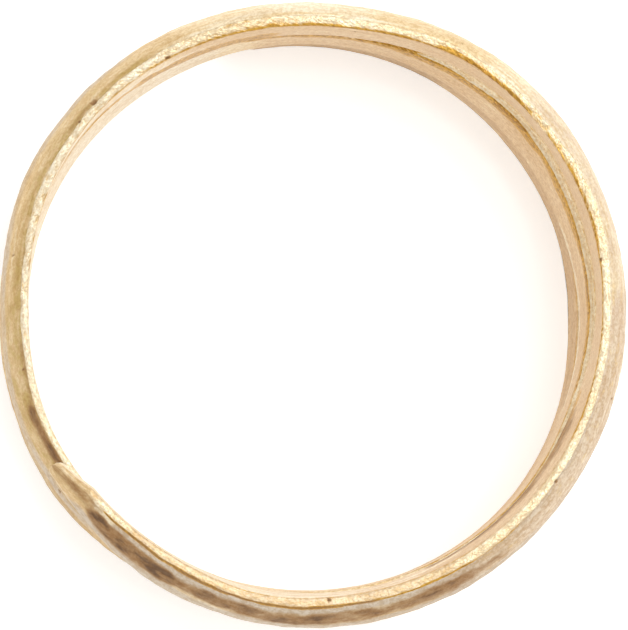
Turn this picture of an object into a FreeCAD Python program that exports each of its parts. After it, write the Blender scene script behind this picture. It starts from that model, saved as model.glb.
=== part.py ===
import FreeCAD, Part
import Sketcher
import math
import os

# Coil ring: one length of D-shaped wire wound two and three quarter turns into a finger ring.
# The finger hole stands upright on the Z axis, the lowest lap lies on the plane Z = 0,
# and the origin is the middle of the hole on that plane. Lengths are millimetres.

doc = FreeCAD.newDocument("coil_ring")

# Driving dimensions
SIZES = [
    ("finger_hole_diameter", 19.2, "narrowest width of the hole, the mandrel that the wire was wound on"),
    ("wire_thickness", 0.92, "radial thickness of the wire, from its flat inner face to its crown"),
    ("wire_width", 1.8, "axial width of the wire, from edge to edge"),
    ("lap_gap", 0.5, "axial air gap between two neighbouring laps"),
    ("base_flat_depth", 0.5, "how deep the lowest lap is rubbed flat where the ring stands"),
    ("tip_length", 1.5, "length of the tapered tip of the front lap"),
    ("tail_length", 1.4, "length of the tapered tail of the lowest lap"),
    ("cutter_overrun", 2.0, "how far the cutting solids run past what they cut"),
]

sheet = doc.addObject("Spreadsheet::Sheet", "dims")
for row, (alias, value, meaning) in enumerate(SIZES, start=1):
    sheet.set("A%d" % row, meaning)
    sheet.set("B%d" % row, str(value))
    sheet.setAlias("B%d" % row, alias)
doc.recompute()

# Route of the wire. The stations are a ninth of a turn apart, counted anticlockwise
# from the root of the front tip, seen from above, while the wire goes down. A lap lies level
# over six steps and goes down over three, beside the step of the lap above it.
FIRST_STATION_ANGLE = 219.5
TURN_STATION_COUNT = 9
LEVEL_STATION_COUNT = 6
STATION_STEP_ANGLE = 360.0 / TURN_STATION_COUNT
LAP_NAMES = ["front_lap", "middle_lap", "lowest_lap"]

# How far the inner face stands off the mandrel, in wire thicknesses, for each station of
# the front lap, the middle lap and the lowest lap.
STAND_OFF_SHARES = [
    0.11, 0.21, 0.07, 0.07, 0.38, 0.24, -0.05, 0.29, 0.08,
    0.10, 0.02, 0.00, 0.01, 0.05, 0.05, -0.07, 0.08, -0.04,
    0.14, -0.02, 0.21, 0.27, 0.23, 0.24, 0.17,
]

# How many laps the wire has gone down at each station.
DROP_SHARES = [
    0.00, 0.01, 0.00, -0.01, 0.00, 0.01, 0.01, 0.26, 0.75,
    1.00, 1.01, 1.00, 0.99, 1.00, 1.00, 1.00, 1.26, 1.75,
    2.00, 2.00, 2.00, 2.00, 2.00, 2.00, 2.00,
]

# How far the section leans at these stations, in degrees, with the lower edge towards the
# finger where the angle is negative.
SECTION_LEAN_ANGLES = {
    0: 0.0, 2: -1.5, 4: 3.0, 6: -2.0,
    9: -2.0, 11: -3.0, 13: -5.0, 15: -3.0,
    18: -3.0, 20: -2.0, 22: 0.0, 24: -2.0,
}

# How thick the hammering has left the wire at the same stations, as shares of its thickness.
# The inner face keeps its place, so a thicker stretch stands out further at its back.
SECTION_THICKNESS_SHARES = {
    0: 1.00, 2: 1.22, 4: 1.02, 6: 1.02,
    9: 1.10, 11: 1.02, 13: 1.00, 15: 1.05,
    18: 1.08, 20: 0.97, 22: 1.02, 24: 1.00,
}

# Upper half of the section, from the inner face over the front edge and the hammered
# back to the crown, in thicknesses outwards and half widths upwards.
OUTLINE_SHARES = [(0.00, 0.86), (0.10, 1.00), (0.38, 1.00), (0.72, 0.76), (0.93, 0.40), (1.00, 0.00)]

# Noses of the two ends, a chisel tip and a blunter tail, as shares of the wire.
TIP_THICKNESS_SHARE = 0.48
TIP_WIDTH_SHARE = 0.52
TIP_OUTWARD_SHARE = 0.10
TIP_SINK_SHARE = 0.12
TAIL_THICKNESS_SHARE = 0.60
TAIL_WIDTH_SHARE = 0.62
TAIL_OUTWARD_SHARE = 0.05
TAIL_SINK_SHARE = 0.0

# The air gap is measured between points this far apart along the wire's edges. The wire's
# ends reach less than this share of a station past the first and the last one.
GAP_SAMPLE_STEP = 0.25
LEAST_GAP_ALLOWED = 0.4
END_REACH_SHARE = 0.5
HALF_SHARE = 0.5
FULL_SHARE = 1.0


def size(alias):
    """A driving dimension as a number."""
    return float(sheet.get(alias))


def station_angle(station):
    """Unwound angle of a station, in degrees; a station may be a fraction."""
    return FIRST_STATION_ANGLE + STATION_STEP_ANGLE * station


def even_slope(values, i):
    """Rise for each station at station i: none at a top, a bottom or the end of a level stretch."""
    if i in (0, len(values) - 1):
        return 0.0
    before = values[i] - values[i - 1]
    after = values[i + 1] - values[i]
    if before * after <= 0.0:
        return 0.0
    return 2.0 * before * after / (before + after)


def lowest_lap_height():
    """Height of the middle of the lowest lap's section, before the base is rubbed flat."""
    return HALF_SHARE * size("wire_width") - size("base_flat_depth")


def lap_pitch():
    """Height from one lap to the next."""
    return size("wire_width") + size("lap_gap")


def route_radius(stand_off):
    """Radius of the wire's centre line where its inner face stands off by this share."""
    return HALF_SHARE * size("finger_hole_diameter") + (stand_off + HALF_SHARE) * size("wire_thickness")


def route_height(drop):
    """Height of the wire's centre line after it has gone down by this share of laps."""
    return lowest_lap_height() + (DROP_SHARES[-1] - drop) * lap_pitch()


def route_point(i):
    """Point of the centre line at station i."""
    angle = math.radians(station_angle(i))
    radius = route_radius(STAND_OFF_SHARES[i])
    height = route_height(DROP_SHARES[i])
    return FreeCAD.Vector(radius * math.cos(angle), radius * math.sin(angle), height)


def route_tangent(i):
    """Direction of the centre line at station i."""
    angle = math.radians(station_angle(i))
    step = math.radians(STATION_STEP_ANGLE)
    outward = FreeCAD.Vector(math.cos(angle), math.sin(angle), 0)
    forward = FreeCAD.Vector(-math.sin(angle), math.cos(angle), 0)
    growth = even_slope(STAND_OFF_SHARES, i) * size("wire_thickness") / step
    fall = even_slope(DROP_SHARES, i) * lap_pitch() / step
    along = outward * growth + forward * route_radius(STAND_OFF_SHARES[i])
    along.z = -fall
    return along.normalize()


def tangent_arc(start, along, end):
    """The arc that leaves start in the direction along and ends at end."""
    chord = end - start
    direction = FreeCAD.Vector(chord).normalize()
    half_turn = math.acos(max(-1.0, min(1.0, along.dot(direction))))
    side = along - direction * along.dot(direction)
    side.normalize()
    top = (start + end) * 0.5 + side * (0.5 * chord.Length * math.tan(0.5 * half_turn))
    return Part.Arc(start, top, end)


def biarc(start, start_along, end, end_along):
    """Two arcs that join start to end and meet on a common tangent."""
    chord = end - start
    a = 2.0 * (1.0 - start_along.dot(end_along))
    b = 2.0 * chord.dot(start_along + end_along)
    c = -chord.dot(chord)
    reach = (-b + math.sqrt(b * b - 4.0 * a * c)) / (2.0 * a)
    first_corner = start + start_along * reach
    second_corner = end - end_along * reach
    middle = (first_corner + second_corner) * 0.5
    middle_along = (second_corner - first_corner).normalize()
    return [tangent_arc(start, start_along, middle), tangent_arc(middle, middle_along, end)]


def make_route(name, first, last):
    """Centre line of the wire from one station to another, as tangent arcs."""
    arcs = []
    for i in range(first, last):
        arcs += biarc(route_point(i), route_tangent(i), route_point(i + 1), route_tangent(i + 1))
    route = doc.addObject("Part::Feature", name + "_route")
    route.Shape = Part.Wire([arc.toShape() for arc in arcs])
    return route


def section_plane(angle, lean):
    """Turn that stands a sketch up in the radial plane at this angle, leaning by lean degrees."""
    return (FreeCAD.Rotation(FreeCAD.Vector(0, 0, 1), angle)
            * FreeCAD.Rotation(FreeCAD.Vector(1, 0, 0), 90)
            * FreeCAD.Rotation(FreeCAD.Vector(0, 0, 1), lean))


def section_sketch(name, angle, lean, radius, height, thickness_share, width_share):
    """D-shaped section of the wire. radius and height are expressions for its middle."""
    sketch = doc.addObject("Sketcher::SketchObject", name)
    sketch.Placement = FreeCAD.Placement(FreeCAD.Vector(0, 0, 0), section_plane(angle, lean))
    sketch.setExpression("Placement.Base.x", "(%s) * cos(%.6f deg)" % (radius, angle % 360.0))
    sketch.setExpression("Placement.Base.y", "(%s) * sin(%.6f deg)" % (radius, angle % 360.0))
    sketch.setExpression("Placement.Base.z", height)

    thickness = size("wire_thickness")
    half_width = HALF_SHARE * size("wire_width") * width_share
    upper = [((x * thickness_share - HALF_SHARE * thickness_share) * thickness, y * half_width)
             for x, y in OUTLINE_SHARES]
    lower = [(x, -y) for x, y in reversed(upper[:-1])]
    corners = [FreeCAD.Vector(x, y, 0) for x, y in upper + lower]
    count = len(corners)
    for i in range(count):
        sketch.addGeometry(Part.LineSegment(corners[i], corners[(i + 1) % count]), False)
    for i in range(count):
        sketch.addConstraint(Sketcher.Constraint("Coincident", i, 2, (i + 1) % count, 1))

    # The upper corners carry the sizes, the crown lies on the middle line, and the lower
    # corners mirror the upper ones.
    crown = len(upper) - 1
    for i, (x, y) in enumerate(OUTLINE_SHARES):
        across = sketch.addConstraint(Sketcher.Constraint("DistanceX", -1, 1, i, 1, corners[i].x))
        sketch.setExpression("Constraints[%d]" % across, "dims.wire_thickness * %.4f * (%.4f - %.1f)"
                             % (thickness_share, x, HALF_SHARE))
        if i == crown:
            sketch.addConstraint(Sketcher.Constraint("PointOnObject", i, 1, -1))
            continue
        upright = sketch.addConstraint(Sketcher.Constraint("DistanceY", -1, 1, i, 1, corners[i].y))
        sketch.setExpression("Constraints[%d]" % upright, "%.1f * dims.wire_width * %.4f * %.4f"
                             % (HALF_SHARE, width_share, y))
        sketch.addConstraint(Sketcher.Constraint("Symmetric", i, 1, count - 1 - i, 1, -1))
    return sketch


def station_section(station):
    """Sketch of the wire's section at a station."""
    thickness_share = SECTION_THICKNESS_SHARES[station]
    return section_sketch(
        "section_%02d" % station,
        station_angle(station),
        SECTION_LEAN_ANGLES[station],
        "dims.finger_hole_diameter / 2 + %.4f * dims.wire_thickness"
        % (STAND_OFF_SHARES[station] + HALF_SHARE * thickness_share),
        "dims.wire_width / 2 - dims.base_flat_depth + %.4f * (dims.wire_width + dims.lap_gap)"
        % (DROP_SHARES[-1] - DROP_SHARES[station]),
        thickness_share,
        FULL_SHARE,
    )


def nose_section(name, station, turn_sense, length_alias, lean, thickness_share, width_share,
                 outward_share, sink_share):
    """Small end section of a taper that runs on from the station by the length in the sheet."""
    radius = route_radius(STAND_OFF_SHARES[station])
    run_on = math.degrees(size(length_alias) / radius)
    return section_sketch(
        name,
        station_angle(station) + turn_sense * run_on,
        lean,
        "dims.finger_hole_diameter / 2 + %.4f * dims.wire_thickness"
        % (STAND_OFF_SHARES[station] + HALF_SHARE + outward_share),
        "dims.wire_width / 2 - dims.base_flat_depth + %.4f * (dims.wire_width + dims.lap_gap)"
        " - %.4f * dims.wire_width" % (DROP_SHARES[-1] - DROP_SHARES[station], sink_share),
        thickness_share,
        width_share,
    )


def make_stretch(name, first, last, sections):
    """One stretch of the wire: its section swept along its route."""
    route = make_route(name, first, last)
    stretch = doc.addObject("Part::Sweep", name)
    stretch.Sections = [sections[i] for i in range(first, last + 1) if i in sections]
    stretch.Spine = (route, ["Edge%d" % (i + 1) for i in range(len(route.Shape.Edges))])
    stretch.Solid = True
    stretch.Frenet = False
    stretch.Transition = "Transformed"
    return stretch


def make_taper(name, root, nose):
    """Straight taper from the wire's end section to its nose."""
    taper = doc.addObject("Part::Loft", name)
    taper.Sections = [root, nose]
    taper.Solid = True
    taper.Ruled = True
    return taper


def make_coil_wire():
    """The whole wire: swept laps and two tapers, trimmed by the base plane and the mandrel."""
    sections = {station: station_section(station) for station in SECTION_LEAN_ANGLES}
    last = len(STAND_OFF_SHARES) - 1
    stretches = []
    for lap, name in enumerate(LAP_NAMES):
        start = lap * TURN_STATION_COUNT
        end = start + LEVEL_STATION_COUNT
        stretches.append(make_stretch(name, start, end, sections))
        if end < last:
            stretches.append(make_stretch(name + "_step", end, start + TURN_STATION_COUNT, sections))

    tip_nose = nose_section("tip_nose", 0, -1, "tip_length", SECTION_LEAN_ANGLES[0],
                            TIP_THICKNESS_SHARE, TIP_WIDTH_SHARE, TIP_OUTWARD_SHARE, TIP_SINK_SHARE)
    tail_nose = nose_section("tail_nose", last, 1, "tail_length", SECTION_LEAN_ANGLES[last],
                             TAIL_THICKNESS_SHARE, TAIL_WIDTH_SHARE, TAIL_OUTWARD_SHARE, TAIL_SINK_SHARE)
    tapers = [make_taper("tip", sections[0], tip_nose), make_taper("tail", sections[last], tail_nose)]
    whole = doc.addObject("Part::MultiFuse", "wound_wire")
    whole.Shapes = stretches + tapers

    # The base block takes off what lies below the plane that the ring stands on.
    block = doc.addObject("Part::Box", "base_block")
    side = "(dims.finger_hole_diameter + 4 * dims.wire_thickness + 2 * dims.cutter_overrun)"
    block.setExpression("Length", side)
    block.setExpression("Width", side)
    block.setExpression("Height", "dims.base_flat_depth + dims.cutter_overrun")
    block.setExpression("Placement.Base.x", "-%s / 2" % side)
    block.setExpression("Placement.Base.y", "-%s / 2" % side)
    block.setExpression("Placement.Base.z", "-(dims.base_flat_depth + dims.cutter_overrun)")
    rubbed = doc.addObject("Part::Cut", "rubbed_wire")
    rubbed.Base = whole
    rubbed.Tool = block

    # The mandrel gives every stretch that touches the finger one common round face.
    mandrel = doc.addObject("Part::Cylinder", "mandrel")
    mandrel.setExpression("Radius", "dims.finger_hole_diameter / 2")
    mandrel.setExpression("Height", "%d * (dims.wire_width + dims.lap_gap) + 2 * dims.cutter_overrun"
                          % len(LAP_NAMES))
    mandrel.setExpression("Placement.Base.z", "-dims.cutter_overrun")
    wire = doc.addObject("Part::Cut", "coil_wire")
    wire.Base = rubbed
    wire.Tool = mandrel
    wire.Label = "coil_wire"
    return wire, stretches


def check_document():
    """Stops the build where any object is not whole."""
    for item in doc.Objects:
        bad = [word for word in item.State if word in ("Invalid", "Error")]
        if bad:
            raise RuntimeError("%s is %s" % (item.Label, ", ".join(bad)))
        if hasattr(item, "Shape") and item.Shape.isNull():
            raise RuntimeError("%s has no shape" % item.Label)


def lap_position(point):
    """Unwound place of a surface point on the wire, in stations, from its angle and its height."""
    turn = math.degrees(math.atan2(point.y, point.x)) - FIRST_STATION_ANGLE
    last = len(DROP_SHARES) - 1
    best = None
    for lap in range(-1, len(LAP_NAMES) + 1):
        place = turn / STATION_STEP_ANGLE + lap * TURN_STATION_COUNT
        if place < -END_REACH_SHARE or place > last + END_REACH_SHARE:
            continue
        inside = max(0.0, min(last - 1e-9, place))
        i = int(inside)
        drop = DROP_SHARES[i] + (inside - i) * (DROP_SHARES[i + 1] - DROP_SHARES[i])
        miss = abs(route_height(drop) - point.z)
        if best is None or miss < best[0]:
            best = (miss, place)
    return best[1]


def least_gap(shape):
    """Least distance between points on two different laps of the wire."""
    bins = {}
    for edge in shape.Edges:
        count = max(2, int(edge.Length / GAP_SAMPLE_STEP) + 1)
        for point in edge.discretize(Number=count):
            key = int(math.degrees(math.atan2(point.y, point.x)) // 3.0) % 120
            bins.setdefault(key, []).append((point, lap_position(point)))
    least = None
    half_lap = HALF_SHARE * TURN_STATION_COUNT
    for key, points in bins.items():
        near = points + bins.get((key + 1) % 120, [])
        for i, (point, place) in enumerate(points):
            for other, other_place in near[i + 1:]:
                if abs(place - other_place) < half_lap:
                    continue
                gap = point.distanceToPoint(other)
                if least is None or gap < least:
                    least = gap
    return least


wire, stretches = make_coil_wire()
doc.recompute()
check_document()

wire_shape = wire.Shape
if not wire_shape.isValid() or len(wire_shape.Solids) != 1:
    raise RuntimeError("the wire is not one valid solid")

for stretch in stretches:
    route = stretch.Spine[0].Shape
    radii = [edge.Curve.Radius for edge in route.Edges]
    areas = [Part.Face(Part.Wire(section.Shape.Edges)).Area for section in stretch.Sections]
    section_area = sum(areas) / len(areas)
    print("%s: %.1f mm along %d arcs of radius %.2f to %.2f mm"
          % (stretch.Label, route.Length, len(radii), min(radii), max(radii)))
    print("    volume %.2f mm3, mean section times length %.2f mm3"
          % (stretch.Shape.Volume, section_area * route.Length))
gap = least_gap(wire_shape)
print("least gap of the wire to itself: %.2f mm" % gap)
if gap <= LEAST_GAP_ALLOWED:
    raise RuntimeError("two laps come closer than %.1f mm" % LEAST_GAP_ALLOWED)
box = wire_shape.BoundBox
print("wire: volume %.1f mm3, about %.1f x %.1f mm across"
      % (wire_shape.Volume, box.XLength, box.YLength))

os.makedirs("parts", exist_ok=True)
wire_shape.exportStep("parts/%s.step" % wire.Label)
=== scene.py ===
import math

import bmesh
import bpy
from bpy.props import FloatProperty, FloatVectorProperty, PointerProperty
from bpy.types import Operator, Panel, PropertyGroup
from mathutils import Matrix, Vector, noise


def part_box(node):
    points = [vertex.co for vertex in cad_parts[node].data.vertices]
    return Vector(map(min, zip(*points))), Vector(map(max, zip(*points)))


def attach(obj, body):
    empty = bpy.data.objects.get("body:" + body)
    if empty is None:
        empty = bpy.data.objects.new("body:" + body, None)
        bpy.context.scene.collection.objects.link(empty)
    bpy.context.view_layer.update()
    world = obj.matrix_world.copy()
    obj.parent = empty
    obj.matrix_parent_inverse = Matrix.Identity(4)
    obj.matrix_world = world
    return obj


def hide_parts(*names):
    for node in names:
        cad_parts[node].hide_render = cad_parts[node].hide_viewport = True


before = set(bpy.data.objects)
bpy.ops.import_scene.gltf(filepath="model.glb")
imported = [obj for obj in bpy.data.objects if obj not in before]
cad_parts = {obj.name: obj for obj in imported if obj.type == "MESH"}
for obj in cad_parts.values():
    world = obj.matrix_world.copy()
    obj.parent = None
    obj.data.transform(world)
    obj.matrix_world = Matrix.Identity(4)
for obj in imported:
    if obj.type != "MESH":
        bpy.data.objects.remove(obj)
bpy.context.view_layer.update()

bl_info = {
    "name": "Coil ring",
    "version": (1, 0, 0),
    "blender": (4, 5, 0),
    "location": "View3D > Sidebar > Coil ring",
    "description": "Winds a hammered, gilded finger ring from one length of D-shaped wire",
    "category": "Add Mesh",
}

# The wire is followed by its unwound angle, in degrees, which starts at the root of the front
# tip and grows anticlockwise, seen from above, while the wire goes down. Lengths are metres,
# apart from those that a comment gives in millimetres.
MILLIMETRE = 0.001
FIRST_ANGLE = 219.5
LAST_ANGLE = 1179.5

# Stations of the lists below: nine to a turn for the height, eighteen for the section.
DROP_STEP = 40.0
SECTION_STEP = 20.0

# How far the wire has gone down within a turn, in laps.
TURN_DROP_SHARES = [0.00, 0.01, 0.00, -0.01, 0.00, 0.01, 0.01, 0.26, 0.75]

# How far the front edge stands off the finger hole, in wire thicknesses, half a lap to a line.
FRONT_STAND_OFF_SHARES = [
    0.08, 0.05, 0.21, 0.13, 0.11, 0.13, 0.13, 0.18, 0.27,
    0.25, 0.23, -0.06, -0.05, 0.13, 0.26, 0.20, 0.04, 0.12,
    0.07, 0.08, 0.03, 0.00, 0.00, 0.02, 0.01, 0.17, 0.17,
    0.28, 0.15, 0.00, 0.00, 0.11, 0.28, 0.25, 0.10, 0.03,
    0.16, 0.06, 0.00, 0.12, 0.26, 0.32, 0.28, 0.22, 0.24,
    0.24, 0.24, 0.21, 0.17,
]

# The same for the rear edge.
REAR_STAND_OFF_SHARES = [
    -0.05, -0.05, 0.02, 0.04, 0.02, 0.00, 0.03, 0.31, 0.35,
    0.46, 0.24, -0.05, -0.09, -0.02, 0.24, 0.22, 0.02, 0.04,
    0.04, 0.02, 0.00, 0.04, 0.13, 0.16, 0.12, 0.16, 0.02,
    0.00, 0.00, -0.05, -0.11, -0.11, -0.02, 0.04, 0.00, 0.00,
    0.10, 0.02, 0.02, 0.13, 0.26, 0.35, 0.30, 0.14, 0.23,
    0.23, 0.25, 0.20, 0.16,
]

# How far the crown of the back stands out from the inner face, in wire thicknesses.
CROWN_SHARES = [
    1.00, 1.22, 1.18, 1.22, 1.24, 1.19, 1.18, 1.04, 0.98,
    0.98, 0.98, 1.03, 1.06, 1.07, 0.99, 1.04, 1.00, 1.04,
    1.07, 1.05, 1.06, 1.05, 1.02, 1.00, 1.00, 1.02, 1.00,
    0.96, 0.98, 1.02, 1.05, 1.02, 0.98, 0.99, 1.06, 1.12,
    1.08, 1.02, 1.00, 0.98, 0.97, 0.98, 0.98, 1.00, 1.02,
    1.00, 0.98, 0.98, 1.00,
]

# Width of the raised bead along the front edge, in wire thicknesses.
BEAD_SHARES = [
    0.22, 0.25, 0.31, 0.32, 0.33, 0.32, 0.31, 0.28, 0.39,
    0.31, 0.33, 0.33, 0.38, 0.36, 0.28, 0.29, 0.24, 0.23,
    0.22, 0.24, 0.26, 0.26, 0.24, 0.22, 0.22, 0.22, 0.24,
    0.24, 0.22, 0.22, 0.24, 0.24, 0.22, 0.22, 0.22, 0.22,
    0.24, 0.24, 0.26, 0.26, 0.24, 0.24, 0.24, 0.24, 0.24,
    0.24, 0.24, 0.24, 0.24,
]

# How ragged and flaky the bead is, from smooth at 0.
RAGGED_SHARES = [
    0.40, 0.25, 0.15, 0.25, 0.40, 0.60, 0.40, 0.35, 0.50,
    1.00, 0.70, 0.60, 0.90, 0.80, 0.75, 0.80, 0.70, 0.50,
    0.40, 0.40, 0.40, 0.40, 0.40, 0.30, 0.30, 0.30, 0.40,
    0.40, 0.50, 0.60, 0.50, 0.70, 0.60, 0.50, 0.40, 0.40,
    0.40, 0.40, 0.40, 0.40, 0.40, 0.40, 0.40, 0.40, 0.40,
    0.40, 0.40, 0.40, 0.40,
]

# Section of the wire from the seam under the rear edge, up the inner face, over the bead
# and down the back, in thicknesses outwards and half widths upwards.
INNER_KNOTS = [
    (0.30, -1.00), (0.13, -0.985), (0.03, -0.93), (0.00, -0.80), (0.00, -0.40),
    (0.00, 0.00), (0.00, 0.40), (0.00, 0.78), (0.018, 0.92),
]
# The bead: share of its width, and half widths upwards.
BEAD_KNOTS = [(0.22, 0.975), (0.62, 1.008), (1.00, 0.998)]
# The slope from the bead to the crown: share of the way out, and half widths upwards.
SLOPE_KNOTS = [
    (0.06, 0.965), (0.16, 0.93), (0.34, 0.84), (0.56, 0.69),
    (0.76, 0.48), (0.92, 0.24), (1.00, 0.00),
]
# The back below the crown, as shares of the crown and half widths.
REAR_KNOTS = [(0.97, -0.24), (0.87, -0.50), (0.71, -0.75), (0.54, -0.90), (0.42, -0.97)]
# Places round the section are counted in these knots from 0 at the seam: 3 to 7 are the inner
# face, 9 to 11 the bead, 12 to 17 the slope, 18 the crown and 19 to 23 the back.
KNOT_COUNT = len(INNER_KNOTS) + len(BEAD_KNOTS) + len(SLOPE_KNOTS) + len(REAR_KNOTS)

# The two ends of the wire: the angle over which each thins out, and how thick and wide it is
# at the end, how far it has moved outwards and how far it has sunk, all as shares.
TIP_ANGLE = 8.3
TIP_THICKNESS_SHARE = 0.50
TIP_WIDTH_SHARE = 0.52
TIP_OUTWARD_SHARE = 0.20
TIP_SINK_SHARE = 0.24
TAIL_ANGLE = 7.8
TAIL_THICKNESS_SHARE = 0.60
TAIL_WIDTH_SHARE = 0.62
TAIL_OUTWARD_SHARE = 0.05
TAIL_SINK_SHARE = 0.0
# The last angle before an end, over which its edge is rounded, and how much is left there.
END_ROUNDING_ANGLE = 1.2
END_FACE_SHARE = 0.25

# The mesh: rings along the wire, closer together on the front lap, and points round it.
RING_COUNT = 1700
AROUND_COUNT = 56
# Share of the rings, and the unwound angle that they have reached by then.
RING_SHARES = [
    (0.00, FIRST_ANGLE - TIP_ANGLE), (0.58, 590.0), (0.84, 950.0),
    (1.00, LAST_ANGLE + TAIL_ANGLE),
]
# Points closer together than this are one point.
MERGE_DISTANCE = 1e-7

# The front lap stands this many laps above the lowest one.
LAPS_BELOW_FRONT = 2.0

# The skin may dip this far past the wall of the finger hole.
HOLE_MARGIN = 0.10 * MILLIMETRE

# The front lap's rear edge reaches lower here, where it lies against the middle lap: the
# share by which it does, its first and last angle and the angle over which it fades out.
WIDE_REACH_SHARE = 0.22
WIDE_REACH_ANGLES = (440.0, 472.0)
WIDE_REACH_SOFTNESS = 16.0

# Relief of the hammered surface, as hammer marks, facets and grain: wavelength along the
# wire, wavelength across it and height, all in millimetres.
SURFACE_WAVES = [(3.1, 1.6, 0.026), (0.95, 0.60, 0.024), (0.30, 0.20, 0.016)]
# Flakes and crumbs on the bead. A flake lies aslant: it runs this far along the wire for each
# millimetre outwards.
FLAKE_WAVE = (0.30, 0.12, 0.050)
FLAKE_SLANT = 1.2
CRUMB_WAVE = (0.16, 0.09, 0.018)
# The knots between which the skin is flaky, and the share of a knot over which that fades out.
FLAKY_KNOTS = (8.4, 11.2)
FLAKY_SOFTNESS = 0.6
# How deep a flake's hollow has to be, as shares of its wave, to take deep gold as its painted
# shade, and how much.
CREVICE_DEPTHS = (0.10, 0.45)
CREVICE_STRENGTH = 0.45
# The inner face is smoother: the share of the relief that is missing there, its knots, and
# the part of a knot over which that fades out.
INNER_SMOOTHNESS = 0.6
INNER_SMOOTH_KNOTS = (2.0, 7.5)
INNER_SMOOTH_SOFTNESS = 1.0
# Uneven outer border of the bead: wavelength and swing in millimetres, and the row of the
# noise that it follows.
SCALLOP_WAVES = [(1.7, 0.030), (0.55, 0.035)]
SCALLOP_NOISE_ROW = 7.3

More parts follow.
